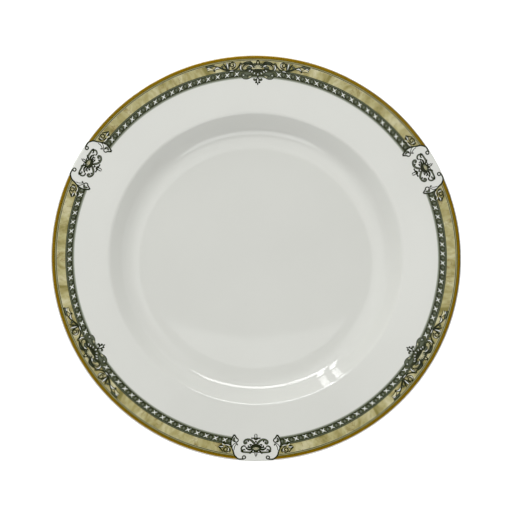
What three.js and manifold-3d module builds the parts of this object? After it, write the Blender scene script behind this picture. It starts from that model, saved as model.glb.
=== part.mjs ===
// China dinner plate: a porcelain body under a fired glaze coat, with a printed and gilded border.
// Millimetres, +Z up. The origin is the centre of the foot ring, on the plane the plate stands on,
// and +Y points at one of the three border prints.
import * as THREE from "three";
import { mergeVertices } from "three/addons/utils/BufferGeometryUtils.js";
import Module from "manifold-3d";

// ---- Driving dimensions ----
const PLATE_RADIUS = 135;
const LIP_TOP = 23; // overall height
const LIP_ROUND = 1.25;
const FLOOR_TOP = 7; // top of the well floor above the table
const FLOOR_THICK = 4;
const WELL_FLAT_RADIUS = 78; // the well is flat out to here
const WELL_EDGE_RADIUS = 86; // where the cavetto wall starts
const WELL_EDGE_RISE = 0.9;
const CAVETTO_SLOPE = THREE.MathUtils.degToRad(47);
const CAVETTO_FOOT_FILLET = 12;
const SHOULDER_RADIUS = 96.6; // where the cavetto wall turns into the rim
const SHOULDER_FILLET = 3.5;
const RIM_THICK = 3.4;
const WALL_THICK = 3.5;
const FOOT_RADIUS = 80; // middle of the foot ring
const FOOT_WIDTH = 3.2; // flat, unglazed width that touches the table
const FOOT_CORNER = 0.6;
const GLAZE = 0.2;

const TURNS = 60; // facets round the plate
const ARC_STEP = THREE.MathUtils.degToRad(16); // turn of a facet round a fillet
// Where facets meet round the lip, in degrees from outwards. The first and last are in line with
// the rim's two faces.
const LIP_CORNERS = [97, 73, 49, 25, 0, -27, -54, -82];

// The border. Prints and palmettes are laid on by hand, so they are a little off their even thirds.
// middle is where round the plate a print has its middle, in degrees, and share is how far it is
// from there to the middle of the gap at either end.
const PRINTS = {
  back: { middle: 89.5, share: 61.2 },
  front_left: { middle: 210.4, share: 59.7 },
  front_right: { middle: 329.1, share: 59.4 },
};
const PALMETTES = { back_right: 28.4, back_left: 150.6, front: 269.9 };
// How far the end of a print is from the middle of the gap, along the rim, at a few radii.
const PRINT_END = [[134.3, 11], [133, 13.1], [130.5, 14.7], [126, 16.5], [123, 17.3], [119, 17.3]];
const BETWEEN_PRINTS = 0.1;
const GILT_RADII = [132.4, 134.3];
const KEY_LINE_RADII = [131.15, GILT_RADII[0] - BETWEEN_PRINTS];
const MARBLE_RADII = [125.5, KEY_LINE_RADII[0] - BETWEEN_PRINTS];
const STAR_RADII = [119.5, MARBLE_RADII[0] - BETWEEN_PRINTS];
const BORDER_MID = (MARBLE_RADII[0] + MARBLE_RADII[1]) / 2; // lengths along the rim are true here
const PRINT_THICK = 0.12;
const PRINT_GAP = 0.03;
const LOWER_LAYER = PRINT_GAP;
const UPPER_LAYER = LOWER_LAYER + PRINT_THICK + PRINT_GAP;

// ---- Solids ----
const wasm = await Module();
wasm.setup();

function solidFrom(geometry) {
  const bare = geometry.index ? geometry.toNonIndexed() : geometry.clone();
  bare.deleteAttribute("normal");
  bare.deleteAttribute("uv");
  const merged = mergeVertices(bare, 1e-4);
  return new wasm.Manifold(
    new wasm.Mesh({
      numProp: 3,
      vertProperties: merged.attributes.position.array,
      triVerts: new Uint32Array(merged.index.array),
    }),
  );
}

function geometryFrom(solid) {
  const mesh = solid.getMesh();
  const geometry = new THREE.BufferGeometry();
  geometry.setAttribute("position", new THREE.BufferAttribute(mesh.vertProperties, 3));
  geometry.setIndex(new THREE.BufferAttribute(mesh.triVerts, 1));
  return geometry;
}

// Turns a closed section of (radius, height) points round the Z axis. Sections run clockwise.
function turned(section) {
  return new THREE.LatheGeometry([...section].reverse(), TURNS).rotateX(Math.PI / 2);
}

// ---- The plate's section ----
const point = (radius, height) => new THREE.Vector2(radius, height);

// Replaces each corner that carries a fillet radius with an arc tangent to both of its sides.
function filleted(corners) {
  const path = [];
  corners.forEach(({ at, fillet }, i) => {
    if (!fillet) {
      path.push(at);
      return;
    }
    const into = at.clone().sub(corners[i - 1].at).normalize();
    const out = corners[i + 1].at.clone().sub(at).normalize();
    const turn = Math.acos(THREE.MathUtils.clamp(into.dot(out), -1, 1));
    const setBack = fillet * Math.tan(turn / 2);
    const side = Math.sign(into.cross(out));
    const start = at.clone().addScaledVector(into, -setBack);
    const centre = start.clone().add(point(-into.y, into.x).multiplyScalar(fillet * side));
    const steps = Math.max(1, Math.ceil(turn / ARC_STEP));
    for (let k = 0; k <= steps; k++) {
      path.push(start.clone().rotateAround(centre, (side * turn * k) / steps));
    }
  });
  return path;
}

const corner = (radius, height, fillet = 0) => ({ at: point(radius, height), fillet });

// The rounded lip.
const lipMiddle = point(PLATE_RADIUS - LIP_ROUND, LIP_TOP - LIP_ROUND);
const lip = LIP_CORNERS.map((degrees) => {
  const turn = THREE.MathUtils.degToRad(degrees);
  return { at: point(Math.cos(turn), Math.sin(turn)).multiplyScalar(LIP_ROUND).add(lipMiddle) };
});

const wellEdgeTop = FLOOR_TOP + WELL_EDGE_RISE;
const shoulderTop = wellEdgeTop + (SHOULDER_RADIUS - WELL_EDGE_RADIUS) * Math.tan(CAVETTO_SLOPE);
const floorUnder = FLOOR_TOP - FLOOR_THICK;
const footOuter = FOOT_RADIUS + FOOT_WIDTH / 2;
const footInner = FOOT_RADIUS - FOOT_WIDTH / 2;
const wipedHeight = FOOT_CORNER; // the glaze is wiped off the foot up to here
const footFlank = 1.2; // how far each flank of the foot leans out over its height
const footTop = floorUnder - 0.6; // underside just outside the foot
// Where the underside of the cavetto wall, one wall thickness out from its face, is at a height.
function wallUnder(height) {
  const faceRadius = WELL_EDGE_RADIUS + (height - wellEdgeTop) / Math.tan(CAVETTO_SLOPE);
  return point(faceRadius + WALL_THICK / Math.sin(CAVETTO_SLOPE), height);
}
const wallUnderStart = wallUnder(footTop + 0.2);
const wallUnderEnd = wallUnder(shoulderTop - RIM_THICK);

// Glazed face: from the middle of the well, over the lip, down to the wiped edge outside the foot.
const faceSection = filleted([
  corner(0, FLOOR_TOP),
  corner(WELL_FLAT_RADIUS, FLOOR_TOP, 20),
  corner(WELL_EDGE_RADIUS, wellEdgeTop, CAVETTO_FOOT_FILLET),
  corner(SHOULDER_RADIUS, shoulderTop, SHOULDER_FILLET),
  ...lip,
  corner(wallUnderEnd.x, wallUnderEnd.y, 8),
  corner(wallUnderStart.x, wallUnderStart.y, 3),
  corner(footOuter + footFlank, footTop),
  corner(footOuter + FOOT_CORNER, wipedHeight),
]);
// Bare foot: the unglazed ring that touches the table.
const footSection = [point(footOuter, 0), point(footInner, 0)];
// Glazed recess inside the foot.
const recessSection = filleted([
  corner(footInner - FOOT_CORNER, wipedHeight),
  corner(footInner - FOOT_CORNER - footFlank, floorUnder, 1.5),
  corner(0, floorUnder),
]);

// The bare porcelain under a glazed stretch, one glaze thickness in. A glazed stretch runs clockwise
// round the section, so its inside is on its right.
function underGlaze(section) {
  return section.map((at, i) => {
    const before = section[Math.max(i - 1, 0)];
    const after = section[Math.min(i + 1, section.length - 1)];
    const along = after.clone().sub(before).normalize();
    const inset = at.clone().add(point(along.y, -along.x).multiplyScalar(GLAZE));
    return at.x === 0 ? point(0, inset.y) : inset;
  });
}
const faceUnder = underGlaze(faceSection);
const recessUnder = underGlaze(recessSection);
const bodySection = [
  ...faceUnder,
  faceSection.at(-1),
  ...footSection,
  recessSection[0],
  ...recessUnder,
];

// ---- Prints, laid on the rim ----
const shoulderEnd = faceSection.findIndex((at) => at.x > SHOULDER_RADIUS + 1);
const lipFall = faceSection.findIndex((at) => at.x > PLATE_RADIUS - 0.3);
const printable = faceSection.slice(shoulderEnd, lipFall);

// A thin skin that lies on the rim, lift above its glaze.
function rimSkin(lift) {
  const under = printable.map((at) => point(at.x, at.y + lift));
  const over = under.map((at) => point(at.x, at.y + PRINT_THICK));
  return solidFrom(turned([...over, ...under.reverse(), over[0]]));
}
const skins = { lower: rimSkin(LOWER_LAYER), upper: rimSkin(UPPER_LAYER) };

// A plan outline cut out of a skin.
function printFrom(outline, skin) {
  const depth = LIP_TOP;
  const prism = new THREE.ExtrudeGeometry(outline, { depth, bevelEnabled: false, curveSegments: 24 });
  prism.translate(0, 0, LIP_TOP / 2);
  return geometryFrom(solidFrom(prism).intersect(skin));
}

// Degrees along the rim from the middle of the gap to the end of the print.
function gapAt(radius) {
  const k = PRINT_END.findIndex(([at]) => at <= radius);
  if (k < 1) return THREE.MathUtils.radToDeg(PRINT_END[0][1] / BORDER_MID);
  const [[outer, start], [inner, end]] = PRINT_END.slice(k - 1, k + 1);
  const across = THREE.MathUtils.mapLinear(radius, outer, inner, start, end);
  return THREE.MathUtils.radToDeg(across / BORDER_MID);
}

// A print's stretch of border between two radii.
function bandOutline({ middle, share }, [inner, outer]) {
  const reach = (radius) => share - gapAt(radius);
  const turn = (degrees) => THREE.MathUtils.degToRad(middle + degrees);
  const shape = new THREE.Shape();
  shape.absarc(0, 0, outer, turn(-reach(outer)), turn(reach(outer)), false);
  shape.absarc(0, 0, inner, turn(reach(inner)), turn(-reach(inner)), true);
  return shape;
}

// Bends an outline drawn flat, with x along the rim and y outwards from midRadius, round to azimuth.
function bentOutline(points, azimuth, midRadius) {
  const bent = points.map(({ x, y }) => {
    const turn = THREE.MathUtils.degToRad(azimuth) - x / BORDER_MID;
    return point((midRadius + y) * Math.cos(turn), (midRadius + y) * Math.sin(turn));
  });
  return new THREE.Shape(bent);
}

// A smooth right half from a bottom point to a top point on the mirror line, and its mirror image.
function symmetric(half, samples) {
  const right = new THREE.SplineCurve(half.map(([x, y]) => point(x, y))).getPoints(samples);
  const left = right.slice(1, -1).reverse().map(({ x, y }) => point(-x, y));
  return [...right, ...left];
}

// Palmette medallion: a pendant towards the rim, arms and wings to both sides, and a bud towards the
// well.
const PALMETTE_MID = 123.7;
const palmetteOutline = symmetric(
  [
    [0, 8.2], [1.1, 6.4], [2.6, 5.2], [4, 6.2], [5.6, 5.4], [9.2, 5.4], [9.9, 2.8], [8.6, 1], [6.4, 1],
    [8.4, -0.8], [7.6, -2.6], [5.4, -3.4], [2.8, -2.4], [1.6, -3.1], [2.8, -3.9], [1.4, -4.7], [0, -6.7],
  ],
  64,
);

// Acanthus spray: a jewel and shell, scrolls and sprigs out to both sides, lobes and a pendant.
const SPRAY_MID = 125.5;
const sprayOutline = symmetric(
  [
    [0, 5.6], [2.8, 4.2], [5.2, 5.2], [9.8, 4.7], [11.8, 4.4], [13.8, 2.2], [16.9, 5.7], [22.4, 5.2],
    [22.8, 2.6], [28.6, 5], [34.2, 5], [31.6, 2.2], [28.6, 1.2], [20, -0.6], [14.6, -0.5],
    [11.9, -2], [11.4, -4.6], [7.6, -6.8], [3, -4.4], [1.2, -5.6], [3.4, -7], [1.4, -8.2], [0, -10.6],
  ],
  84,
);

// Scroll that ends a print: a ring at the rim, a bracket line down the end, leaves and a volute.
// x runs from the middle of the gap into the print.
const SCROLL_MID = 126;
const scrollOutline = new THREE.SplineCurve(
  [
    [6.9, 6.7], [8.2, 8.1], [11.6, 8.1], [14.2, 6.2], [16.2, 3.8], [18.4, 4.8], [21, 4.8], [25.2, 1.7],
    [22, -0.6], [18.4, -0.6], [17.5, -3.4], [16, -7.6], [13.5, -4.4], [12.5, -1], [14.7, 0.8],
    [13.8, 4.6], [11.4, 6.8], [9.3, 6.8], [8.2, 5.5], [6.9, 6.7],
  ].map(([x, y]) => point(x, y)),
).getPoints(84).slice(0, -1);
const mirrored = (points) => points.map(({ x, y }) => point(-x, y)).reverse();

// ---- Materials ----
const finish = (color, roughness, metalness = 0) =>
  new THREE.MeshStandardMaterial({ color, roughness, metalness });
const MATERIALS = {
  porcelain: finish(0xe6e4dc, 0.75),
  glaze: finish(0xd6d8d2, 0.08),
  gilt: finish(0x8f6d1c, 0.35, 0.6),
  keyLines: finish(0x6f6f4a, 0.3),
  marble: finish(0xaaa477, 0.3),
  starGround: finish(0x5c6350, 0.3),
  greenInk: finish(0x2f3a26, 0.35),
};

// ---- Assembly ----
const plate = new THREE.Group();

function add(name, geometry, material) {
  const mesh = new THREE.Mesh(geometry, MATERIALS[material]);
  mesh.name = name;
  plate.add(mesh);
}

add("porcelain_body", turned(bodySection), "porcelain");
add("face_glaze", turned([...faceSection, ...faceUnder.reverse()]), "glaze");
add("foot_recess_glaze", turned([...recessUnder.reverse(), ...recessSection]), "glaze");

for (const [place, print] of Object.entries(PRINTS)) {
  const band = (radii) => printFrom(bandOutline(print, radii), skins.lower);
  add(`gilt_line_${place}`, band(GILT_RADII), "gilt");
  add(`key_lines_${place}`, band(KEY_LINE_RADII), "keyLines");
  add(`marble_band_${place}`, band(MARBLE_RADII), "marble");
  add(`star_band_${place}`, band(STAR_RADII), "starGround");
  const spray = bentOutline(sprayOutline, print.middle, SPRAY_MID);
  add(`acanthus_spray_${place}`, printFrom(spray, skins.upper), "greenInk");
  const towards = bentOutline(scrollOutline, print.middle + print.share, SCROLL_MID);
  add(`scroll_end_${place}_ccw`, printFrom(towards, skins.upper), "greenInk");
  const away = bentOutline(mirrored(scrollOutline), print.middle - print.share, SCROLL_MID);
  add(`scroll_end_${place}_cw`, printFrom(away, skins.upper), "greenInk");
}

for (const [place, azimuth] of Object.entries(PALMETTES)) {
  const outline = bentOutline(palmetteOutline, azimuth, PALMETTE_MID);
  add(`palmette_${place}`, printFrom(outline, skins.upper), "greenInk");
}

export default plate;
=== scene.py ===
"""A china dinner plate: glazed porcelain with a printed and gilded border.

The plate's section, the radii of its border and the places of its motifs come from the CAD frame.
The glaze is turned finely from that section. The border is raised enamel: every line, leaf, star and
scroll is its own thin closed shape, laid on the rim and gathered into one piece per colour.
"""

import math
from collections import defaultdict

import bmesh
import bpy
import numpy as np
from mathutils import Matrix, Vector


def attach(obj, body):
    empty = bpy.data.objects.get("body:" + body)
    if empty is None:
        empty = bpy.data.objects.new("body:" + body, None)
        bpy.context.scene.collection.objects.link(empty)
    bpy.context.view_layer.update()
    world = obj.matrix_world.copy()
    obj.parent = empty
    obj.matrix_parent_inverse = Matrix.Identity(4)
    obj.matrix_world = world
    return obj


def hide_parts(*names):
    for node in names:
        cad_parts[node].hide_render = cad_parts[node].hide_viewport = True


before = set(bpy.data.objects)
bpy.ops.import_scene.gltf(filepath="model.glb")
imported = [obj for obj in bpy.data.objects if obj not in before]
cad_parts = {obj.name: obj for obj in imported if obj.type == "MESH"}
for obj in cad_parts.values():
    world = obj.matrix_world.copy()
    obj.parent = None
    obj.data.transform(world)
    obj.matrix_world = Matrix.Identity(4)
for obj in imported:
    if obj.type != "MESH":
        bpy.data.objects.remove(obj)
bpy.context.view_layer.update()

MM = 0.001
NEAR = 0.01  # mm within which a corner counts as on the axis or on the section's plane
BESIDE = 0.05  # and as at the middle of a print
PRINTS = ("back", "front_left", "front_right")
PALMETTES = ("back_right", "back_left", "front")


# ---- What the frame says ----

def points_of(node):
    """A CAD node's corners in mm."""
    return np.array([tuple(v.co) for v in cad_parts[node].data.vertices]) / MM


def azimuth_of(node):
    """Where round the plate the middle of a node lies, in radians counterclockwise from +X."""
    x, y = points_of(node)[:, :2].T
    rough = math.atan2(y.mean(), x.mean())
    aside = np.angle(np.exp(1j * (np.arctan2(y, x) - rough)))
    return rough + (aside.min() + aside.max()) / 2


def reach_of(node):
    """How far a node runs to either side of its middle, in radians."""
    x, y = points_of(node)[:, :2].T
    return np.abs(np.angle(np.exp(1j * (np.arctan2(y, x) - azimuth_of(node))))).max()


def radii_of(band):
    """Inner and outer radius of a border band, read at the middle of the back print."""
    node = f"{band}_back"
    x, y = points_of(node)[:, :2].T
    middle = azimuth_of(node)
    aside = y * math.cos(middle) - x * math.sin(middle)
    radii = np.hypot(x, y)[np.abs(aside) < BESIDE]
    return radii.min(), radii.max()


def section_of(node):
    """A turned node's section as (radius, height) in mm, from its highest point on the axis."""
    corners = np.round(points_of(node), 3) + 0.0
    linked = defaultdict(set)
    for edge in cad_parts[node].data.edges:
        a, b = (tuple(corners[i]) for i in edge.vertices)
        if a != b and all(abs(y) < NEAR and x > -NEAR for x, y, _ in (a, b)):
            linked[a].add(b)
            linked[b].add(a)
    walk = [max((p for p in linked if p[0] < NEAR), key=lambda p: p[2])]
    while True:
        onward = [p for p in linked[walk[-1]] if p not in walk]
        if not onward:
            return np.array([(x, z) for x, _, z in walk])
        walk.append(onward[0])


STRAIGHT = 2.2  # a facet this many times longer than the next one is a straight stretch


def rounded(section, finest, longest):
    """The section with its fillets as curves. Long straight stretches stay straight.

    finest is the most degrees a facet turns, longest the most mm it spans.
    """
    chords = np.diff(section, axis=0)
    lengths = np.linalg.norm(chords, axis=1)
    directions = chords / lengths[:, None]
    tangents = []
    for i in range(len(section)):
        before, after = max(i - 1, 0), min(i, len(chords) - 1)
        if max(lengths[before], lengths[after]) > STRAIGHT * min(lengths[before], lengths[after]):
            tangent = directions[before] if lengths[before] > lengths[after] else directions[after]
        else:
            tangent = directions[before] / lengths[before] + directions[after] / lengths[after]
        tangents.append(tangent / np.linalg.norm(tangent))
    curve = [section[0]]
    for i, length in enumerate(lengths):
        turn = math.degrees(math.acos(np.clip(np.dot(tangents[i], tangents[i + 1]), -1, 1)))
        steps = max(1, math.ceil(turn / finest), math.ceil(length / longest))
        for t in np.arange(1, steps + 1) / steps:
            ease = t * t * (3 - 2 * t)
            leave = t * (1 - t) ** 2 * length * tangents[i]
            arrive = -t * t * (1 - t) * length * tangents[i + 1]
            curve.append(section[i] * (1 - ease) + section[i + 1] * ease + leave + arrive)
    return np.array(curve)


GILT_RADII = radii_of("gilt_line")
KEY_RADII = radii_of("key_lines")
MARBLE_RADII = radii_of("marble_band")
STAR_RADII = radii_of("star_band")

GLAZE_SECTION = rounded(section_of("face_glaze"), finest=4.0, longest=6.0)
WIPED = int(np.argmin(GLAZE_SECTION[:, 1]))  # the glaze's outside ends here, above the foot
FACE_SECTION = GLAZE_SECTION[: WIPED + 1]
RIM_TOP = FACE_SECTION[: int(np.argmax(FACE_SECTION[:, 0])) + 1]


def rim_height(radius):
    """Height of the rim's glaze, in mm."""
    return np.interp(radius, RIM_TOP[:, 0], RIM_TOP[:, 1])


# ---- Pieces ----

def piece_from(name, verts, faces, material, sharp=math.radians(32)):
    """A named mesh object with its vertices in mm, shaded smooth except at edges sharper than sharp."""
    mesh = bpy.data.meshes.new(name)
    mesh.from_pydata([tuple(np.asarray(v) * MM) for v in verts], [], faces)
    bm = bmesh.new()
    bm.from_mesh(mesh)
    bmesh.ops.recalc_face_normals(bm, faces=bm.faces)
    for face in bm.faces:
        face.smooth = True
    for edge in bm.edges:
        edge.smooth = edge.calc_face_angle(0) < sharp
    bm.to_mesh(mesh)
    bm.free()
    mesh.materials.append(material)
    piece = bpy.data.objects.new(name, mesh)
    bpy.context.scene.collection.objects.link(piece)
    return piece


def set_piece(piece, slot, *nodes):
    """Puts a finished piece on the plate's body and hides the CAD nodes it stands for. slot is not used.
    """
    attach(piece, "root")
    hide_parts(*nodes)


def turned(section, segments):
    """Vertices and faces of a closed section turned round the axis. Its ends lie on the axis or meet."""
    verts, faces, rings = [], [], []
    angles = np.arange(segments) * math.tau / segments
    for radius, height in section:
        if radius < 1e-3:
            rings.append([len(verts)] * segments)
            verts.append((0.0, 0.0, height))
        else:
            rings.append(list(range(len(verts), len(verts) + segments)))
            verts.extend((radius * math.cos(a), radius * math.sin(a), height) for a in angles)
    for lower, upper in zip(rings, rings[1:]):
        for i in range(segments):
            j = (i + 1) % segments
            corners = dict.fromkeys((lower[i], upper[i], upper[j], lower[j]))
            faces.append(tuple(corners))
    return verts, faces


# ---- Drawing the enamel ----
# Motifs are drawn flat, in mm: across runs counterclockwise round the rim from the motif's middle,
# radius is the distance from the plate's middle.

REFERENCE = float(np.mean(MARBLE_RADII))  # radius at which across is true to length
STEP = 0.28  # spacing of points along a line
SPOT_CORNERS = 20
STAR_WAIST = 0.14  # reach of a star's inner corners, as a share of its short bar
BEVEL = 0.06  # how far a line's edges lean in, at most half of its width's half
NARROWEST = 0.02  # least half width of a line
ON_AXIS = 0.001  # a shape whose middle is nearer to the motif's axis than this is its own mirror image


def curl(start, heading, length, turn):
    """A path from start, which sets out at heading and turns evenly by turn degrees.

    Headings are degrees from across towards the lip.
    """
    count = max(10, math.ceil(length / STEP))
    s = (np.arange(count) + 0.5) / count
    angles = np.radians(heading + turn * s)
    steps = np.column_stack([np.cos(angles), np.sin(angles)]) * (length / count)
    return np.vstack([start, start + np.cumsum(steps, axis=0)])


def through(*points):
    """A smooth path through a few points."""
    points = np.array(points, float)
    ends = np.vstack([2 * points[0] - points[1], points, 2 * points[-1] - points[-2]])
    path = [points[0]]
    for a, b, c, d in zip(ends, ends[1:], ends[2:], ends[3:]):
        for t in np.linspace(0, 1, max(4, math.ceil(np.linalg.norm(c - b) / STEP)) + 1)[1:]:
            spread = 2 * b + (c - a) * t + (2 * a - 5 * b + 4 * c - d) * t**2
            path.append(0.5 * (spread + (3 * b - a - 3 * c + d) * t**3))
    return np.array(path)


def circle(middle, radius, start=0.0, sweep=360.0):
    """A round path."""
    count = max(12, math.ceil(math.radians(abs(sweep)) * radius / STEP))
    angles = np.radians(start + sweep * np.arange(count + 1) / count)
    return np.array(middle) + radius * np.column_stack([np.cos(angles), np.sin(angles)])


def spiral(middle, outer, inner, start, sweep):
    """A path that winds round middle from radius outer to radius inner."""
    count = math.ceil(math.radians(abs(sweep)) * (outer + inner) / 2 / STEP)
    share = np.arange(count + 1) / count
    angles = np.radians(start + sweep * share)
    reach = outer + (inner - outer) * share
    return np.array(middle) + np.column_stack([np.cos(angles), np.sin(angles)]) * reach[:, None]


def taper(start, end):
    """Widths that run evenly from start to end."""
    return lambda t: start + (end - start) * t


def leafy(width, fullest=0.4):
    """Widths of a leaf that is fullest part way along."""
    return lambda t: width * np.sin(np.pi * t ** (math.log(0.5) / math.log(fullest))) ** 0.8


def drop(width):
    """Widths of a drop: pointed at the start and round at the end."""
    return lambda t: width * np.sqrt(np.clip(t * (1 - t**6), 0, 1))


class Enamel:
    """Thin closed shapes of one colour. base is the height above the glaze they stand on.

    swell is added to the width of every line and spot.
    """

    def __init__(self, base, thickness, swell=0.0):
        self.base = base
        self.thickness = thickness
        self.swell = swell
        self.shapes = []  # the corners and faces of each

    def _add(self, rings):
        """Joins equal rings of corners (across, radius, height) into a closed skin."""
        corners = np.array([corner for ring in rings for corner in ring])
        size = len(rings[0])
        last = len(corners) - size
        faces = [tuple(range(size)), tuple(range(last, last + size))]
        for here in range(0, last, size):
            there = here + size
            for j in range(size):
                k = (j + 1) % size
                faces.append((here + j, here + k, there + k, there + j))
        self.shapes.append((corners, faces))

    def line(self, path, width):
        """A ribbon along a path. width is a number or a function of the share of the way along."""
        along = np.gradient(path, axis=0)
        along /= np.maximum(np.linalg.norm(along, axis=1), 1e-9)[:, None]
        normal = np.column_stack([-along[:, 1], along[:, 0]])
        share = np.linspace(0, 1, len(path))
        widths = np.broadcast_to(width(share) if callable(width) else width, share.shape)
        halves = (widths + self.swell) / 2
        rings = []
        for point, side, half in zip(path, normal, np.maximum(halves, NARROWEST)):
            inner = max(half - BEVEL, half / 2)
            top = self.base + self.thickness
            offsets = ((-half, self.base), (-inner, top), (inner, top), (half, self.base))
            rings.append([(*(point + side * offset), height) for offset, height in offsets])
        self._add(rings)

    def spot(self, middle, width, height=None):
        """A low spot, round or oval. height is its size across the border."""
        height = (height or width) + self.swell
        width += self.swell
        angles = np.arange(SPOT_CORNERS) * math.tau / SPOT_CORNERS
        outline = np.column_stack([np.cos(angles) * width / 2, np.sin(angles) * height / 2])
        self.facet(np.array(middle) + outline, middle, shoulder=0.7)

    def facet(self, outline, middle, shoulder):
        """A closed shape whose flat top is its outline drawn in towards middle by shoulder."""
        outline = np.asarray(outline, float)
        middle = np.asarray(middle, float)
        top = self.base + self.thickness
        crown = middle + (outline - middle) * shoulder
        self._add([
            [(*point, self.base) for point in outline],
            [(*point, top) for point in crown],
        ])

    def star(self, middle, long, short, tilt):
        """A slender star of four points. long and short are the lengths of its two bars."""
        points = []
        for k in range(8):
            reach = (long / 2, short / 2)[k // 2 % 2] if k % 2 == 0 else short * STAR_WAIST
            angle = math.radians(tilt + 45 * k)
            points.append((middle[0] + reach * math.cos(angle), middle[1] + reach * math.sin(angle)))
        self.facet(points, middle, shoulder=0.55)

    def mirrored(self):
        """Adds the mirror image of each shape drawn so far, unless it is its own mirror image."""
        for corners, faces in list(self.shapes):
            if abs(corners[:, 0].mean()) > ON_AXIS:
                self.shapes.append((corners * (-1, 1, 1), [face[::-1] for face in faces]))
        return self

    def piece(self, name, material, azimuth, way=1):
        """Lays the shapes on the rim round azimuth. way is -1 to run them clockwise."""
        drawn = np.vstack([corners for corners, _ in self.shapes])
        faces = []
        first = 0
        for corners, shape in self.shapes:
            faces.extend(tuple(first + i for i in face) for face in shape)
            first += len(corners)
        angles = azimuth + way * drawn[:, 0] / REFERENCE
        heights = rim_height(drawn[:, 1]) + drawn[:, 2]
        placed = np.column_stack([drawn[:, 1] * np.cos(angles), drawn[:, 1] * np.sin(angles), heights])
        return piece_from(name, placed, faces, material)


# ---- Materials ----

class Shader:
    """A material's nodes, added one at a time round its Principled node."""

    def __init__(self, name, roughness, metallic=0.0, shine=0.5):
        self.material = bpy.data.materials.new(name)
        self.material.use_nodes = True
        self.tree = self.material.node_tree
        self.surface = self.tree.nodes["Principled BSDF"]
        self.surface.inputs["Roughness"].default_value = roughness
        self.surface.inputs["Metallic"].default_value = metallic
        self.surface.inputs["Specular IOR Level"].default_value = shine
        self.place = self.node("ShaderNodeTexCoord").outputs["Object"]

    def node(self, kind, **settings):
        node = self.tree.nodes.new(kind)
        for key, value in settings.items():
            setattr(node, key, value)
        return node

    def join(self, output, socket):
        self.tree.links.new(output, socket)

    def noise(self, size, detail=2.0, rough=0.5, distortion=0.0, place=None):
        """Noise whose blobs are about size mm wide, at place or at the point in space."""
        node = self.node("ShaderNodeTexNoise")
        self.join(place or self.place, node.inputs["Vector"])
        node.inputs["Scale"].default_value = 1 / (size * MM)
        node.inputs["Detail"].default_value = detail
        node.inputs["Roughness"].default_value = rough
        node.inputs["Distortion"].default_value = distortion
        return node.outputs["Fac"]

    def span(self, value, low, high, to_low, to_high):
        """value's range from low to high as the range from to_low to to_high."""
        node = self.node("ShaderNodeMapRange")
        self.join(value, node.inputs["Value"])
        node.inputs["From Min"].default_value = low
        node.inputs["From Max"].default_value = high
        node.inputs["To Min"].default_value = to_low
        node.inputs["To Max"].default_value = to_high
        return node.outputs["Result"]

    def ramp(self, value, *stops):
        """Colours along value, as (position, colour) stops."""
        node = self.node("ShaderNodeValToRGB")
        self.join(value, node.inputs["Fac"])
        band = node.color_ramp
        for position, colour in stops[2:]:
            band.elements.new(position)
        for element, (position, colour) in zip(band.elements, sorted(stops)):
            element.position = position
            element.color = colour
        return node.outputs["Color"]

    def mix(self, share, a, b, way="MIX"):
        """b over a by share. Each may be a socket or a plain value."""
        node = self.node("ShaderNodeMix", data_type="RGBA", blend_type=way)
        for name, value in (("Factor_Float", share), ("A_Color", a), ("B_Color", b)):
            socket = next(s for s in node.inputs if s.identifier == name)
            if isinstance(value, bpy.types.NodeSocket):
                self.join(value, socket)
            else:
                socket.default_value = value
        return next(s for s in node.outputs if s.identifier == "Result_Color")

    def colour(self, output):
        self.join(output, self.surface.inputs["Base Color"])

    def roughness(self, output):
        self.join(output, self.surface.inputs["Roughness"])

    def bump(self, *waves):
        """Surface relief from (noise, height in mm) pairs, one over the other."""
        below = None
        for value, height in waves:
            node = self.node("ShaderNodeBump")
            node.inputs["Distance"].default_value = height * MM
            self.join(value, node.inputs["Height"])
            if below:
                self.join(below, node.inputs["Normal"])
            below = node.outputs["Normal"]
        self.join(below, self.surface.inputs["Normal"])


def srgb(red, green, blue):
    """A linear colour from screen levels of 0 to 255."""
    linear = []
    for level in (red, green, blue):
        share = level / 255
        linear.append(share / 12.92 if share <= 0.04045 else ((share + 0.055) / 1.055) ** 2.4)
    return (*linear, 1.0)


def shaded(colour, by):
    """The colour made lighter or darker by a factor."""
    return (*(channel * by for channel in colour[:3]), 1.0)


CHINA = srgb(209, 210, 204)  # white glaze
BISCUIT = srgb(205, 200, 188)  # bare porcelain
GOLD = srgb(128, 100, 4)
SAGE = srgb(146, 143, 96)  # between the key lines
INK = srgb(34, 39, 16)  # outlines and rules
DUSK = srgb(78, 83, 58)  # field of the star band
SEAM = srgb(62, 67, 46)  # its dark edge towards the well
CREAM = srgb(206, 200, 160)
CHALK = srgb(220, 222, 216)
MOSS = srgb(86, 92, 74)
GEM = srgb(94, 100, 82)

ENAMEL_SHINE = 0.2  # how strongly the enamels mirror, where 0.5 is clear glaze


def glaze():
    """Gloss white glaze, a little uneven in tone and surface."""
    shader = Shader("china_glaze", roughness=0.01)
    tone = shader.span(shader.noise(70, detail=3), 0.3, 0.7, 0.0, 1.0)
    shader.colour(shader.mix(tone, shaded(CHINA, 0.985), shaded(CHINA, 1.015)))
    shader.roughness(shader.span(shader.noise(18, detail=4), 0.3, 0.7, 0.007, 0.013))
    shader.surface.inputs["IOR"].default_value = 1.5
    shader.bump((shader.noise(38, detail=1), 0.006), (shader.noise(4.5, detail=1), 0.0001))
    return shader.material


def biscuit():
    """Bare fired porcelain: matt, finely grained and slightly grey where it has been stood on."""
    shader = Shader("biscuit_porcelain", roughness=0.8)
    scuffs = shader.span(shader.noise(2.2, detail=6, rough=0.7), 0.45, 0.75, 0.0, 0.55)
    shader.colour(shader.mix(scuffs, BISCUIT, shaded(BISCUIT, 0.72)))
    shader.roughness(shader.span(shader.noise(0.6), 0.3, 0.7, 0.7, 0.9))
    shader.bump((shader.noise(0.25, detail=5, rough=0.7), 0.02))
    return shader.material


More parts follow.
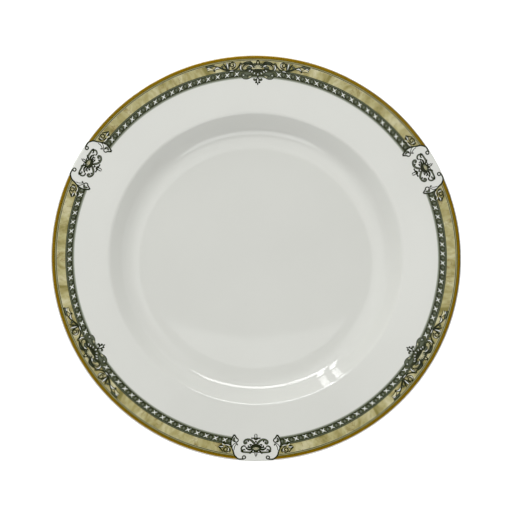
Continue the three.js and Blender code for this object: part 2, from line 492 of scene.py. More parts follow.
def enamel(name, colour, unevenness=0.12, roughness=0.2):
    """Fired enamel colour: stippled, slightly uneven, with a soft gloss."""
    shader = Shader(name, roughness, shine=ENAMEL_SHINE)
    wash = shader.span(shader.noise(2.4, detail=3), 0.3, 0.7, 0.0, 1.0)
    flat = shader.mix(wash, shaded(colour, 1 - unevenness), shaded(colour, 1 + unevenness))
    stipple = shader.span(shader.noise(0.18, detail=1), 0.35, 0.65, 0.0, 1.0)
    shader.colour(shader.mix(stipple, shader.mix(0.5, flat, shaded(colour, 0.85)), flat))
    shader.roughness(shader.span(shader.noise(1.5), 0.3, 0.7, roughness - 0.05, roughness + 0.08))
    shader.bump((shader.noise(0.3, detail=2), 0.006))
    return shader.material


def gilt():
    """Burnished gold line: satin, brushed along the lip and a little thin in places."""
    shader = Shader("gilt", roughness=0.3, metallic=0.8, shine=ENAMEL_SHINE)
    brushed = shader.noise(1.1, detail=4, rough=0.7)
    wear = shader.span(brushed, 0.3, 0.7, 0.0, 1.0)
    shader.colour(shader.mix(wear, shaded(GOLD, 0.82), shaded(GOLD, 1.1)))
    shader.roughness(shader.span(shader.noise(0.8, detail=3), 0.3, 0.7, 0.24, 0.42))
    shader.bump((shader.noise(0.35, detail=2), 0.008))
    return shader.material


def marble():
    """Sage marbling: soft cream clouds, olive drifts and fine broken brown veins."""
    shader = Shader("marbled_enamel", roughness=0.2, shine=ENAMEL_SHINE)
    print_place = shader.node("ShaderNodeUVMap", uv_map="print").outputs["UV"]
    stone = shader.node("ShaderNodeMapping")
    stone.inputs["Scale"].default_value = (MM, MM * 0.55, 0.0)
    shader.join(print_place, stone.inputs["Vector"])
    ground = stone.outputs["Vector"]
    clouds = shader.ramp(
        shader.noise(8.5, detail=3, rough=0.55, distortion=0.6, place=ground),
        (0.33, srgb(132, 124, 70)),
        (0.45, srgb(162, 154, 102)),
        (0.55, srgb(180, 173, 126)),
        (0.68, srgb(202, 197, 160)),
    )
    grain = shader.span(shader.noise(1.3, detail=5, rough=0.65, place=ground), 0.3, 0.7, 0.0, 0.5)
    mottled = shader.mix(grain, clouds, srgb(166, 158, 108), way="MULTIPLY")
    mottled = shader.mix(0.5, clouds, mottled)
    ridge = shader.noise(9, detail=4, rough=0.6, distortion=1.4, place=ground)
    vein = shader.ramp(
        ridge,
        (0.478, (0.0, 0.0, 0.0, 1.0)),
        (0.5, (1.0, 1.0, 1.0, 1.0)),
        (0.522, (0.0, 0.0, 0.0, 1.0)),
    )
    broken = shader.span(shader.noise(12, detail=2, place=ground), 0.47, 0.6, 0.0, 0.8)
    strength = shader.mix(1.0, vein, broken, way="MULTIPLY")
    shader.colour(shader.mix(strength, mottled, srgb(118, 98, 52)))
    shader.roughness(shader.span(shader.noise(2), 0.3, 0.7, 0.15, 0.27))
    shader.bump((shader.noise(0.5, detail=2), 0.005))
    return shader.material


def star_ground():
    """The star band's ground: a dark upper edge, a dusky field, and a lower edge that fades out."""
    shader = Shader("star_ground", roughness=0.2, shine=ENAMEL_SHINE)
    split = shader.node("ShaderNodeSeparateXYZ")
    shader.join(shader.node("ShaderNodeUVMap", uv_map="print").outputs["UV"], split.inputs["Vector"])
    inner, outer = STAR_RADII
    share = shader.span(split.outputs["Y"], inner, outer, 0.0, 1.0)
    field = shader.ramp(
        share,
        (0.0, srgb(190, 192, 184)),
        (0.08, srgb(142, 147, 133)),
        (0.17, srgb(104, 109, 90)),
        (0.24, SEAM),
        (0.34, SEAM),
        (0.42, DUSK),
        (0.80, DUSK),
        (0.90, MOSS),
        (1.0, srgb(70, 78, 50)),
    )
    stipple = shader.span(shader.noise(0.3, detail=2), 0.35, 0.65, 0.82, 1.12)
    shader.colour(shader.mix(1.0, field, stipple, way="MULTIPLY"))
    shader.bump((shader.noise(0.3, detail=2), 0.005))
    return shader.material


MATERIALS = {
    "glaze": glaze(),
    "biscuit": biscuit(),
    "gilt": gilt(),
    "marble": marble(),
    "star_ground": star_ground(),
    "sage": enamel("sage_enamel", SAGE),
    "ink": enamel("green_ink", INK, unevenness=0.2),
    "moss": enamel("moss_enamel", MOSS),
    "gem": enamel("gem_enamel", GEM),
    "cream": enamel("cream_enamel", CREAM),
    "chalk": enamel("white_enamel", CHALK, unevenness=0.05),
}


# ---- Porcelain ----

TURNS = 288


def build_porcelain():
    """The bare body, whose foot shows, and the two coats of glaze."""
    body = rounded(section_of("porcelain_body"), finest=8.0, longest=6.0)
    piece = piece_from("porcelain_foot_and_body", *turned(body, TURNS // 2), MATERIALS["biscuit"])
    set_piece(piece, "porcelain", "porcelain_body")
    piece = piece_from("face_glaze_coat", *turned(GLAZE_SECTION, TURNS), MATERIALS["glaze"])
    set_piece(piece, "glaze", "face_glaze")
    recess = rounded(section_of("foot_recess_glaze"), finest=6.0, longest=4.0)
    piece = piece_from("recess_glaze_coat", *turned(recess, TURNS // 2), MATERIALS["glaze"])
    set_piece(piece, "glaze", "foot_recess_glaze")


# ---- Border bands ----

# Where the enamel's layers stand above the glaze, and how thick they are.
GROUND = (-0.02, 0.08)
RULE_LAYER = (0.0, 0.1)
INK_LAYER = (0.0, 0.13)
FILL_LAYER = (0.08, 0.1)
LIGHT_LAYER = (0.1, 0.12)
DETAIL_LAYER = (0.1, 0.16)
INK_SWELL = 0.4  # how much wider the motifs' ink runs than it is drawn

# How far the end of a print is from the middle of the gap, in mm across, at a few radii.
PRINT_END = np.array([
    (134.1, 11.4),
    (133.2, 12.9),
    (131.8, 14.3),
    (129.2, 15.4),
    (126.2, 16.9),
    (123.4, 17.5),
    (120.6, 16.9),
])


def print_end(radius):
    """Distance across from the middle of the gap to the end of the print at this radius."""
    ends = PRINT_END[::-1]
    return np.interp(radius, ends[:, 0], ends[:, 1])


GILT_GAP = 11.0  # from the middle of the gap to where the CAD's gilding ends
BAND_COLUMNS = 241  # corners along a band from end to end
BAND_ROW = 0.6  # most mm from one row of corners to the next
RULE_INSET = 0.15  # a rule stops this far short of its print's end


def share_of(place):
    """Distance across from the middle of a print to the middle of the gap at its end."""
    return reach_of(f"gilt_line_{place}") * REFERENCE + GILT_GAP


def band_piece(name, radii, material, azimuth, share):
    """A thin closed band between two radii, with UVs in mm along and across the border."""
    rows = np.linspace(*radii, max(3, math.ceil((radii[1] - radii[0]) / BAND_ROW) + 1))
    columns = np.linspace(-1, 1, BAND_COLUMNS)
    across = [columns * (share - print_end(radius)) for radius in rows]
    verts, faces = [], []
    for lift in (GROUND[0], sum(GROUND)):
        for radius, row in zip(rows, across):
            angles = azimuth + row / REFERENCE
            height = rim_height(radius) + lift
            verts.extend((radius * math.cos(a), radius * math.sin(a), height) for a in angles)
    wide, tall = len(columns), len(rows)

    def at(layer, row, column):
        return (layer * tall + row) * wide + column

    for layer in (0, 1):
        for row in range(tall - 1):
            for column in range(wide - 1):
                faces.append((at(layer, row, column), at(layer, row, column + 1),
                              at(layer, row + 1, column + 1), at(layer, row + 1, column)))
    for column in range(wide - 1):
        for row in (0, tall - 1):
            faces.append((at(0, row, column), at(0, row, column + 1),
                          at(1, row, column + 1), at(1, row, column)))
    for row in range(tall - 1):
        for column in (0, wide - 1):
            faces.append((at(0, row, column), at(0, row + 1, column),
                          at(1, row + 1, column), at(1, row, column)))
    piece = piece_from(name, verts, faces, material)
    uv = piece.data.uv_layers.new(name="print")
    flat = [(row[column], radius) for _ in (0, 1) for radius, row in zip(rows, across)
            for column in range(wide)]
    for loop in piece.data.loops:
        uv.data[loop.index].uv = flat[loop.vertex_index]
    return piece


def ring_line(rules, share, radius, width):
    """A line along the border at one radius, from one end of the print to the other."""
    reach = share - print_end(radius) - RULE_INSET
    across = np.linspace(-reach, reach, BAND_COLUMNS)
    rules.line(np.column_stack([across, np.full_like(across, radius)]), width)


def build_bands(place, azimuth, share):
    """Gilding, key lines, marbling and star band of one print."""
    for name, radii, material, slot, node in (
        ("gilding", GILT_RADII, "gilt", "gilt", "gilt_line"),
        ("key_ground", KEY_RADII, "sage", "key_lines", "key_lines"),
        ("marbling", MARBLE_RADII, "marble", "marble", "marble_band"),
        ("star_ground", STAR_RADII, "star_ground", "star_ground", "star_band"),
    ):
        band = band_piece(f"{name}_{place}", radii, MATERIALS[material], azimuth, share)
        set_piece(band, slot, f"{node}_{place}")

    # The rules' radii and widths, from the lip inwards.
    rules = Enamel(*RULE_LAYER)
    ring_line(rules, share, KEY_RADII[1] + 0.05, 0.3)
    ring_line(rules, share, KEY_RADII[0] + 0.25, 0.42)
    ring_line(rules, share, MARBLE_RADII[0] - 0.15, 0.34)
    ring_line(rules, share, STAR_RADII[1] - 1.1, 0.5)
    ring_line(rules, share, STAR_MIDDLE - 1.45, 0.5)
    set_piece(rules.piece(f"key_rules_{place}", MATERIALS["ink"], azimuth), "green_ink")


# ---- Star band ----

STAR_PITCH = 6.54
STAR_COUNT = 16  # to each side of the spray
EVEN_SHARE = math.tau / 6 * REFERENCE  # the share of a print that is exactly a third of the border
FIRST_STAR = 14.25  # across, from the middle of the spray
STAR_MIDDLE = 122.7  # radius
STAR_LONG, STAR_SHORT, STAR_TILT = 5.0, 3.7, -37
SETTING = (3.2, 3.4)  # the dark round between two stars, across and towards the lip
STAR_GEM = (1.7, 2.1)  # the light in it
STAR_GEM_LIFT = 0.2
DOT = 0.9  # a dark dot beside each of a star's slanting bars
DOT_ASIDE, DOT_LIFT = 1.9, 0.9


def build_stars(place, azimuth, share):
    """White stars between dark edged gems, running out from the spray, with a dot to each side."""
    stars = Enamel(*LIGHT_LAYER)
    gems = Enamel(*FILL_LAYER)
    settings = Enamel(*RULE_LAYER)
    for k in range(STAR_COUNT):
        across = (FIRST_STAR + k * STAR_PITCH) * share / EVEN_SHARE
        stars.star((across, STAR_MIDDLE), STAR_LONG, STAR_SHORT, STAR_TILT)
        between = across + STAR_PITCH / 2
        settings.spot((between, STAR_MIDDLE), *SETTING)
        gems.spot((between, STAR_MIDDLE + STAR_GEM_LIFT), *STAR_GEM)
        for side in (-1, 1):
            settings.spot((across + side * DOT_ASIDE, STAR_MIDDLE - side * DOT_LIFT), DOT)
    for drawn, name, material, slot in (
        (stars, "stars", "chalk", "star_ground"),
        (gems, "star_gems", "gem", "star_ground"),
        (settings, "star_settings", "ink", "green_ink"),
    ):
        set_piece(drawn.mirrored().piece(f"{name}_{place}", MATERIALS[material], azimuth), slot)


# ---- Motifs ----

class Motif:
    """One ornament in layers of enamel: dark ink, moss fills over it, then white and cream lights."""

    def __init__(self):
        self.ink = Enamel(*INK_LAYER, swell=INK_SWELL)
        self.moss = Enamel(*FILL_LAYER)
        self.white = Enamel(*LIGHT_LAYER)
        self.cream = Enamel(*LIGHT_LAYER)
        self.detail = Enamel(*DETAIL_LAYER)

    def stem(self, path, width, rim=0.3, fill=None):
        """A ribbon of fill, white unless said, with a dark edge as wide as rim. width is a function."""
        self.ink.line(path, lambda t: width(t) + 2 * rim)
        (fill or self.white).line(path, width)

    def jewel(self, middle, width, height=None, rim=0.4, fill=None):
        """A spot of fill with a dark edge."""
        height = height or width
        self.ink.spot(middle, width + 2 * rim, height + 2 * rim)
        (fill or self.white).spot(middle, width, height)

    def flutes(self, count, foot, reach, lean, width):
        """The cream flutes of a shell: one upright, then count more that lean out ever further."""
        for k in range(count + 1):
            angle = math.radians(90 - k * lean)
            tip = np.array(foot) + np.array((math.cos(angle), math.sin(angle))) * reach
            self.cream.line(through(foot, tip), drop(width))

    def volute(self, middle, size):
        """A scroll that winds once and a half, with a light on its outer turn and a cream eye."""
        self.ink.line(spiral(middle, size, size * 0.22, -70, -560), taper(0.6, 0.45))
        self.white.line(circle(middle, size * 0.76, 135, 95), leafy(0.45, 0.5))
        self.cream.spot(middle, size * 0.28)

    def pieces(self, name, azimuth, nodes, mirrored=True, way=1):
        """Lays the enamels on the rim. The ink stands for the CAD nodes."""
        for drawn, suffix, material, stands_for in (
            (self.ink, "ink", "ink", nodes),
            (self.moss, "moss", "moss", ()),
            (self.white, "white", "chalk", ()),
            (self.cream, "cream", "cream", ()),
            (self.detail, "detail", "ink", ()),
        ):
            if drawn.shapes:
                if mirrored:
                    drawn.mirrored()
                piece = drawn.piece(f"{name}_{suffix}", MATERIALS[material], azimuth, way)
                set_piece(piece, "green_ink", *stands_for)


def draw_palmette():
    """A medallion: pendant and bowl towards the rim, arms and wings, and a bud towards the well."""
    motif = Motif()
    # Pendant, with a knob to each side.
    motif.ink.spot((0.0, 128.7), 2.4, 1.6)
    motif.stem(through((0.0, 128.9), (0.0, 131.4)), leafy(0.6, 0.45), rim=0.45)
    motif.ink.line(through((0.0, 131.0), (0.0, 132.2)), taper(0.3, 0.05))
    motif.jewel((1.8, 128.6), 0.7, rim=0.45)
    # Fluted bowl in a dark crescent.
    motif.ink.line(circle((0.0, 127.7), 3.3, 190, 160), 1.5)
    motif.jewel((0.0, 126.8), 5.8, 2.2, rim=0.4, fill=motif.moss)
    motif.flutes(2, foot=(0.0, 125.9), reach=2.0, lean=33, width=0.5)
    # Wings.
    motif.ink.line(through((2.4, 126.2), (4.4, 127.1), (7.1, 126.2)), leafy(1.7, 0.4))
    motif.ink.line(through((2.6, 125.8), (4.4, 125.7), (5.4, 124.6)), leafy(1.3, 0.45))
    motif.ink.line(through((2.0, 125.2), (3.2, 124.4), (4.4, 123.9)), leafy(1.0, 0.5))
    motif.white.line(through((3.2, 126.4), (4.6, 126.7), (6.0, 126.4)), leafy(0.34, 0.5))
    motif.white.line(through((3.6, 125.4), (4.4, 125.3), (4.9, 124.8)), leafy(0.34, 0.5))
    motif.white.spot((3.1, 124.7), 0.45)
    # Upper arms, which turn over at their ends.
    motif.ink.line(through((2.2, 128.0), (3.5, 129.2), (6.2, 129.3), (9.2, 129.2)), taper(1.1, 0.6))
    motif.ink.line(through((3.0, 129.0), (4.1, 130.2)), taper(0.9, 0.2))
    motif.moss.line(through((3.2, 128.9), (4.6, 129.3), (6.6, 129.3), (8.6, 129.2)), leafy(0.75, 0.4))
    hook = through((8.4, 128.8), (9.6, 127.6), (9.4, 126.1), (8.2, 125.2), (6.8, 125.5))
    motif.ink.line(hook, taper(0.9, 0.45))
    motif.ink.line(through((8.6, 127.9), (7.6, 127.5), (7.0, 128.2)), taper(0.5, 0.2))
    motif.ink.line(through((9.0, 129.2), (10.0, 128.6)), taper(0.5, 0.2))
    motif.moss.line(through((9.0, 128.3), (9.6, 127.4), (9.2, 126.0), (8.2, 125.3)), leafy(0.6, 0.4))
    # Lower arms.
    arm = through((1.2, 123.2), (2.6, 121.7), (4.6, 120.7), (6.8, 121.0), (8.1, 122.3),
                  (7.6, 123.6), (6.4, 123.1), (6.9, 122.2))
    motif.stem(arm, taper(0.8, 0.45), rim=0.18, fill=motif.moss)
    motif.ink.spot((5.3, 121.8), 0.8)
    # Drop in the middle.
    motif.jewel((0.0, 123.0), 0.95, rim=0.4)
    motif.ink.spot((0.0, 122.1), 1.0)
    motif.ink.spot((1.2, 123.0), 0.8)
    # Bud under its cap and bar.
    motif.ink.spot((0.0, 120.2), 2.5, 1.5)
    motif.ink.line(through((0.0, 119.75), (2.8, 119.8)), taper(0.75, 0.4))
    motif.ink.spot((2.8, 119.8), 0.75)
    motif.stem(through((0.0, 119.8), (0.0, 116.9)), leafy(1.0, 0.55), rim=0.45)
    return motif


def draw_scroll_end():
    """The bracket that ends a print: a ring by the lip, a line down the end, leaves and a volute."""
    motif = Motif()
    motif.ink.line(circle((8.0, 132.8), 1.0), 0.38)
    edge = [(across, radius) for radius, across in PRINT_END]
    motif.ink.line(through((8.0, 133.8), (9.6, 134.1), *edge, (15.9, 118.4)), taper(0.55, 0.7))
    # Leaf that turns out from the bracket towards the palmette.
    motif.stem(through((15.2, 128.6), (15.5, 126.6), (14.8, 125.0), (13.7, 124.1)), leafy(1.0, 0.45))
    motif.ink.line(through((14.1, 124.0), (13.3, 124.3), (12.7, 125.2)), taper(0.75, 0.25))
    motif.jewel((14.1, 123.9), 0.5, rim=0.22)
    # Leaf towards the well, which curls and ends in a point.
    motif.ink.line(circle((13.9, 121.8), 1.25, 75, 215), taper(0.3, 0.45))
    motif.ink.line(through((13.6, 120.7), (14.7, 119.4), (15.8, 118.2)), taper(0.4, 0.7))
    motif.ink.line(through((15.9, 122.9), (15.0, 122.7), (14.5, 122.2)), leafy(0.95, 0.6))
    vein = through((16.2, 122.9), (15.7, 121.4), (15.2, 120.0))
    motif.stem(vein, leafy(0.9, 0.4), rim=0.1, fill=motif.moss)
    # Volute in the marbling, and the leaf at its side.
    volute = (20.1, 128.8)
    motif.volute(volute, 2.35)
    motif.ink.line(through((21.6, 130.7), (23.4, 129.2), (25.3, 127.7)), taper(0.4, 0.6))
    motif.stem(through((22.0, 127.1), (23.2, 127.6), (25.0, 127.5)), leafy(0.6, 0.35), rim=0.4)
    motif.ink.line(through((22.4, 126.6), (23.6, 126.4), (24.6, 127.0)), leafy(0.6, 0.5))
    motif.ink.line(through((17.7, 130.6), (17.2, 129.2), (17.5, 127.6)), leafy(0.5, 0.5))
    # Stem along the edge of the star band.
    motif.ink.line(through((16.9, 126.6), (18.6, 125.4), (21.0, 125.2), (23.6, 124.6)), taper(0.9, 0.5))
    motif.white.line(through((17.4, 126.2), (19.4, 125.7), (21.4, 125.9)), leafy(0.5, 0.5))
    motif.white.line(through((21.4, 125.9), (22.4, 125.8), (23.2, 125.0)), leafy(0.6, 0.5))
    return motif


def draw_spray():
    """The acanthus spray: jewel, shell and pendant, then scrolls, lobes, volutes and a sprig."""
    motif = Motif()
    # Jewel on the crown of the shell, with a curl to each side.
    motif.jewel((0.0, 129.8), 0.9, 1.3, rim=0.85, fill=motif.cream)
    motif.ink.spot((0.0, 131.1), 0.8)
    motif.stem(curl((1.2, 128.5), 50, 2.6, turn=-150), taper(0.4, 0.25), fill=motif.moss)
    # Fluted shell.
    motif.jewel((0.0, 127.0), 6.4, 2.9, rim=0.5, fill=motif.moss)
    motif.flutes(3, foot=(0.0, 125.7), reach=2.8, lean=27, width=0.65)
    # Fan of white tipped drops below it.
    motif.ink.spot((0.0, 124.7), 5.2, 2.6)
    for start, tip, width in (
        ((0.0, 124.2), (0.0, 121.4), 0.95),
        ((1.2, 124.4), (2.7, 122.2), 0.85),
        ((2.4, 125.2), (4.5, 123.4), 0.8),
        ((3.8, 125.9), (6.1, 124.0), 0.8),
    ):
        motif.ink.line(through(start, tip), leafy(width + 0.9, 0.6))
        motif.white.line(through(np.mean([start, tip], axis=0), tip), drop(width))
    # Plumes between the fan and the great scroll.
    motif.stem(curl((4.2, 126.2), 35, 3.6, turn=-75), leafy(1.0, 0.5), fill=motif.moss)
    motif.stem(curl((3.6, 126.8), 60, 2.6, turn=-70), leafy(0.7, 0.5), rim=0.34)
    motif.ink.line(curl((5.0, 125.4), 10, 4.2, turn=-50), leafy(1.0, 0.6))
    # Pendant flower beyond the band.
    motif.ink.line(through((0.0, 121.4), (0.0, 119.4)), 0.8)
    motif.stem(through((0.0, 119.6), (0.0, 116.2)), leafy(0.95, 0.5), rim=0.55)
    motif.ink.line(through((0.0, 116.6), (0.0, 115.0)), taper(0.8, 0.3))
    petal = through((0.7, 118.9), (1.9, 118.4), (3.2, 119.1))
    motif.stem(petal, leafy(0.6, 0.7), fill=motif.moss)
    motif.ink.spot((1.3, 116.8), 0.9)
    # Lobes that bulge past the star band, each with a small volute and a light leaf.
    lobe = through((3.0, 121.2), (5.0, 123.4), (8.4, 123.9), (11.3, 123.2), (11.8, 121.2),
                   (10.4, 119.3), (7.6, 118.8), (4.8, 119.8), (3.0, 121.2))[:-1]
    middle = np.array((7.8, 121.4))
    motif.ink.facet(lobe, middle, shoulder=0.93)
    motif.moss.facet(middle + (lobe - middle) * 0.88, middle, shoulder=0.95)
    motif.detail.line(spiral((10.0, 121.6), 1.35, 0.75, 200, -330), taper(0.5, 0.3))
    motif.white.spot((10.0, 121.6), 0.95)
    motif.detail.line(through((3.2, 121.4), (5.6, 121.8), (8.4, 121.0)), taper(0.7, 0.3))
    motif.detail.spot((7.3, 120.6), 1.0, 0.7)
    motif.cream.line(through((4.6, 120.7), (5.6, 120.5), (6.6, 120.0)), leafy(0.6, 0.5))
    # Great scroll: a dark ribbon lined with moss under a dark leafy crest, and a white crescent at its
    # turn.
    ribbon = through((3.6, 127.9), (5.4, 128.9), (7.8, 128.9), (9.7, 127.6), (10.2, 125.8), (9.2, 124.8))
    motif.ink.line(ribbon, taper(0.7, 0.5))
    motif.moss.line(through((5.2, 128.3), (7.4, 128.2), (8.8, 127.1), (9.2, 125.9)), leafy(0.5, 0.5))
    crest = through((3.4, 128.2), (5.0, 129.9), (7.6, 130.0), (10.2, 129.1), (11.5, 130.0))
    motif.ink.line(crest, taper(1.5, 0.5))
    motif.ink.line(through((4.4, 129.6), (5.3, 130.9)), taper(0.9, 0.2))
    motif.moss.line(through((4.8, 129.5), (6.6, 129.9), (8.8, 129.6)), leafy(0.4, 0.5))
    motif.stem(through((10.8, 128.6), (11.7, 126.9), (11.2, 124.9)), leafy(0.75, 0.5), rim=0.32)
    # Stem to the volute, and the volute.
    stem = through((11.6, 129.7), (12.6, 127.8), (14.6, 126.0), (17.2, 125.5), (19.8, 125.6))
    motif.ink.line(stem, taper(0.6, 0.75))
    motif.volute((16.9, 129.0), 2.35)
    motif.ink.line(through((15.8, 124.8), (18.0, 124.8), (20.4, 124.0)), leafy(1.1, 0.6))
    motif.white.line(through((16.4, 125.0), (17.8, 125.1), (19.4, 124.9)), leafy(0.5, 0.5))
    # White bud between two blades.
    motif.stem(through((19.9, 126.6), (20.2, 130.7)), drop(0.95), rim=0.3)
    motif.ink.line(through((19.7, 125.6), (19.0, 128.2), (18.6, 130.9)), taper(0.55, 0.3))
    motif.ink.line(through((20.1, 125.6), (21.4, 128.4), (22.8, 130.9)), leafy(0.95, 0.5))
    # Sprig.
    motif.ink.line(through((19.6, 125.4), (22.6, 126.8), (26.0, 128.8), (29.6, 130.5)), leafy(1.0, 0.3))
    motif.stem(curl((24.6, 127.8), 150, 2.4, turn=-40), leafy(0.7, 0.5), fill=motif.moss)
    motif.stem(through((25.4, 127.9), (27.2, 128.5), (28.9, 127.6)), leafy(0.8, 0.5), rim=0.34)
    motif.ink.line(through((28.2, 128.0), (29.4, 127.2), (28.7, 126.4)), leafy(0.9, 0.6))
    motif.stem(through((29.6, 127.7), (31.8, 128.6), (33.9, 128.0)), leafy(1.2, 0.5), fill=motif.cream)
    motif.stem(through((28.4, 130.3), (31.2, 130.5), (34.4, 130.8)), leafy(0.9, 0.5), fill=motif.moss)
    motif.stem(through((31.4, 129.4), (32.6, 129.6), (33.8, 129.2)), leafy(0.6, 0.5))
    return motif


def build_motifs():
    """A spray on each print, its two scroll ends, and the palmettes between."""
    for place in PRINTS:
        node = f"acanthus_spray_{place}"
        draw_spray().pieces(node, azimuth_of(node), (node,))
        middle = azimuth_of(node)
        turn = share_of(place) / REFERENCE
        for end, way in (("ccw", 1), ("cw", -1)):
            node = f"scroll_end_{place}_{end}"
            draw_scroll_end().pieces(node, middle + way * turn, (node,), mirrored=False, way=-way)
    for place in PALMETTES:
        node = f"palmette_{place}"
        draw_palmette().pieces(node, azimuth_of(node), (node,))


build_porcelain()
for place in PRINTS:
    middle = azimuth_of(f"acanthus_spray_{place}")
    build_bands(place, middle, share_of(place))
    build_stars(place, middle, share_of(place))
build_motifs()


# ---- Studio ----

FLOOR_REACH = 6.0  # m
FLOOR_GLOW = 1.0
FLOOR_GREY = (0.3, 0.3, 0.3, 1.0)


def build_floor():
    """A plain pale table, bright from within, so that the plate casts no shadow on it."""
    square = ((-1, -1), (1, -1), (1, 1), (-1, 1))
    corners = [(x * FLOOR_REACH, y * FLOOR_REACH, 0.0) for x, y in square]
    mesh = bpy.data.meshes.new("floor")
    mesh.from_pydata(corners, [], [(0, 1, 2, 3)])
    floor = bpy.data.objects.new("floor", mesh)
    bpy.context.scene.collection.objects.link(floor)
    shader = Shader("floor", roughness=0.9, shine=0.0)
    shader.surface.inputs["Base Color"].default_value = FLOOR_GREY
    shader.surface.inputs["Emission Color"].default_value = (1.0, 1.0, 1.0, 1.0)
    shader.surface.inputs["Emission Strength"].default_value = FLOOR_GLOW
    mesh.materials.append(shader.material)


def toward(azimuth, elevation, distance):
    """A place seen from the plate's middle. Azimuth 0 is towards -Y and 90 towards +X."""
    a, e = math.radians(azimuth), math.radians(elevation)
    return Vector((math.sin(a) * math.cos(e), -math.cos(a) * math.cos(e), math.sin(e))) * distance


def softbox(name, azimuth, elevation, distance, width, height, power):
    """A soft rectangular lamp that faces the plate."""
    lamp = bpy.data.lights.new(name, "AREA")
    lamp.shape = "RECTANGLE"
    lamp.size = width
    lamp.size_y = height
    lamp.energy = power
    holder = bpy.data.objects.new(name, lamp)
    holder.location = toward(azimuth, elevation, distance)
    holder.rotation_euler = (-holder.location).to_track_quat("-Z", "Y").to_euler()
    bpy.context.scene.collection.objects.link(holder)
    return holder


HORIZON = 0.8  # brightness of the pale walls all round
HORIZON_FULL = 14  # degrees up to which the walls are bright, and from where they are dark
HORIZON_GONE = 36

# A pale panel overhead. It is placed in steps sideways and back for each step up, and its back edge
# is a curve, which shows as a sheen in the lower half of the well.
PANEL = 1.1  # brightness
PANEL_EDGE = 0.1397  # how far back the edge is where it is nearest
PANEL_EDGE_MIDDLE = 0.0318  # how far aside that place is
PANEL_EDGE_CURVE = 20.0
PANEL_EDGE_SOFTNESS = 0.0003
PANEL_FULL = 0.15  # reach to the sides and front up to which the panel is bright, and where it ends
PANEL_GONE = 0.4
LEAST_HEIGHT = 0.01  # keeps the reach of level directions finite

# Lamps that face the plate: azimuth and elevation in degrees, distance, width and height in m, and
# power in W. The two panes are narrow, and show as bright marks in the glaze of the cavetto.
SOFTBOXES = {
    "back": (180, 44, 1.27, 0.78, 0.36, 7.2),
    "back_left": (225, 54.7, 1.1, 0.9, 0.9, 1.9),
    "left": (270, 63.4, 1.0, 0.9, 0.9, 0.4),
    "front_left": (315, 54.7, 1.1, 0.9, 0.9, 1.1),
    "front": (5, 52, 1.1, 1.0, 0.5, 3.8),
    "front_right": (45, 54.7, 1.1, 0.9, 0.9, 0.7),
    "left_pane": (203, 25, 1.6, 0.08, 1.0, 2.2),
    "right_pane": (208.5, 25, 1.6, 0.08, 1.0, 2.2),
}


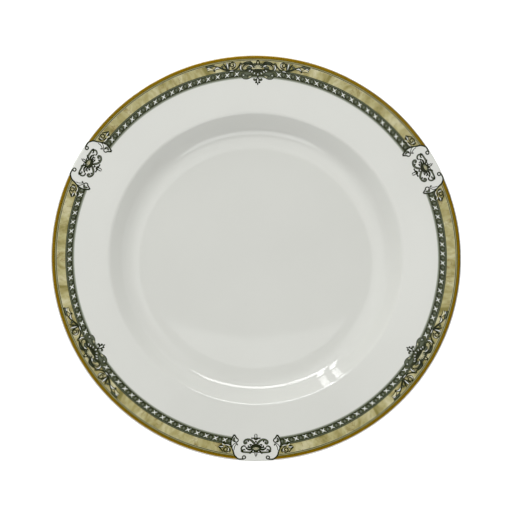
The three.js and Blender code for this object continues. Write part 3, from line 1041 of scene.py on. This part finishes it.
class World:
    """The studio round the plate, as brightness in each direction."""

    def __init__(self):
        self.world = bpy.data.worlds.new("studio")
        self.world.use_nodes = True
        self.tree = self.world.node_tree
        split = self.tree.nodes.new("ShaderNodeSeparateXYZ")
        place = self.tree.nodes.new("ShaderNodeTexCoord").outputs["Generated"]
        self.tree.links.new(place, split.inputs["Vector"])
        self.x, self.y, self.z = split.outputs

    def math(self, operation, *values):
        """One sum. Each value may be a socket or a number."""
        node = self.tree.nodes.new("ShaderNodeMath")
        node.operation = operation
        for socket, value in zip(node.inputs, values):
            if isinstance(value, bpy.types.NodeSocket):
                self.tree.links.new(value, socket)
            else:
                socket.default_value = value
        return node.outputs["Value"]

    def fade(self, value, gone, full):
        """0 where value is at or past gone, 1 where it is at or past full, and smooth between."""
        node = self.tree.nodes.new("ShaderNodeMapRange")
        node.interpolation_type = "SMOOTHSTEP"
        low, high = sorted((gone, full))
        node.inputs["From Min"].default_value = low
        node.inputs["From Max"].default_value = high
        node.inputs["To Min"].default_value = float(low == full)
        node.inputs["To Max"].default_value = float(high == full)
        self.tree.links.new(value, node.inputs["Value"])
        return node.outputs["Result"]

    def walls(self):
        """Brightness of the pale walls: even near the floor, and gone higher up."""
        sines = [math.sin(math.radians(angle)) for angle in (HORIZON_GONE, HORIZON_FULL)]
        return self.math("MULTIPLY", self.fade(self.z, *sines), HORIZON)

    def panel(self):
        """Brightness of the panel overhead."""
        above = self.math("MAXIMUM", self.z, LEAST_HEIGHT)
        aside = self.math("DIVIDE", self.x, above)
        back = self.math("DIVIDE", self.y, above)
        off_middle = self.math("SUBTRACT", aside, PANEL_EDGE_MIDDLE)
        bow = self.math("MULTIPLY", off_middle, off_middle)
        edge = self.math("MULTIPLY_ADD", bow, PANEL_EDGE_CURVE, PANEL_EDGE)
        past = self.math("SUBTRACT", back, edge)
        inside = self.fade(past, PANEL_EDGE_SOFTNESS, -PANEL_EDGE_SOFTNESS)
        for value in (self.math("ABSOLUTE", aside), self.math("ABSOLUTE", back)):
            inside = self.math("MULTIPLY", inside, self.fade(value, PANEL_GONE, PANEL_FULL))
        return self.math("MULTIPLY", inside, PANEL)

    def finish(self):
        """Adds the parts up. The camera sees plain white."""
        total = self.math("ADD", self.walls(), self.panel())
        seen = self.tree.nodes.new("ShaderNodeLightPath").outputs["Is Camera Ray"]
        background = self.tree.nodes["Background"]
        background.inputs["Color"].default_value = (1.0, 1.0, 1.0, 1.0)
        self.tree.links.new(self.math("MAXIMUM", total, seen), background.inputs["Strength"])
        return self.world


def build_studio():
    """Pale walls all round, a panel overhead, and lamps round the plate."""
    bpy.context.scene.world = World().finish()
    for name, setting in SOFTBOXES.items():
        softbox(name, *setting)


CAMERA_AZIMUTH = -12
CAMERA_ELEVATION = 81.3
CAMERA_DISTANCE = 5.5  # m
CAMERA_AIM = Vector((0.1, 2.1, 14.0)) * MM
LENS = 587.5


def build_camera():
    """Looks down at the plate from just in front, with +Y up in the picture."""
    camera = bpy.data.cameras.new("camera")
    camera.lens = LENS
    holder = bpy.data.objects.new("camera", camera)
    back = toward(CAMERA_AZIMUTH, CAMERA_ELEVATION, 1.0)
    right = Vector((0.0, 1.0, 0.0)).cross(back).normalized()
    up = back.cross(right)
    rotation = Matrix((right, up, back)).transposed()
    holder.matrix_world = Matrix.Translation(CAMERA_AIM + back * CAMERA_DISTANCE) @ rotation.to_4x4()
    bpy.context.scene.collection.objects.link(holder)
    bpy.context.scene.camera = holder


build_floor()
build_studio()
build_camera()
bpy.context.scene.view_settings.view_transform = "Standard"
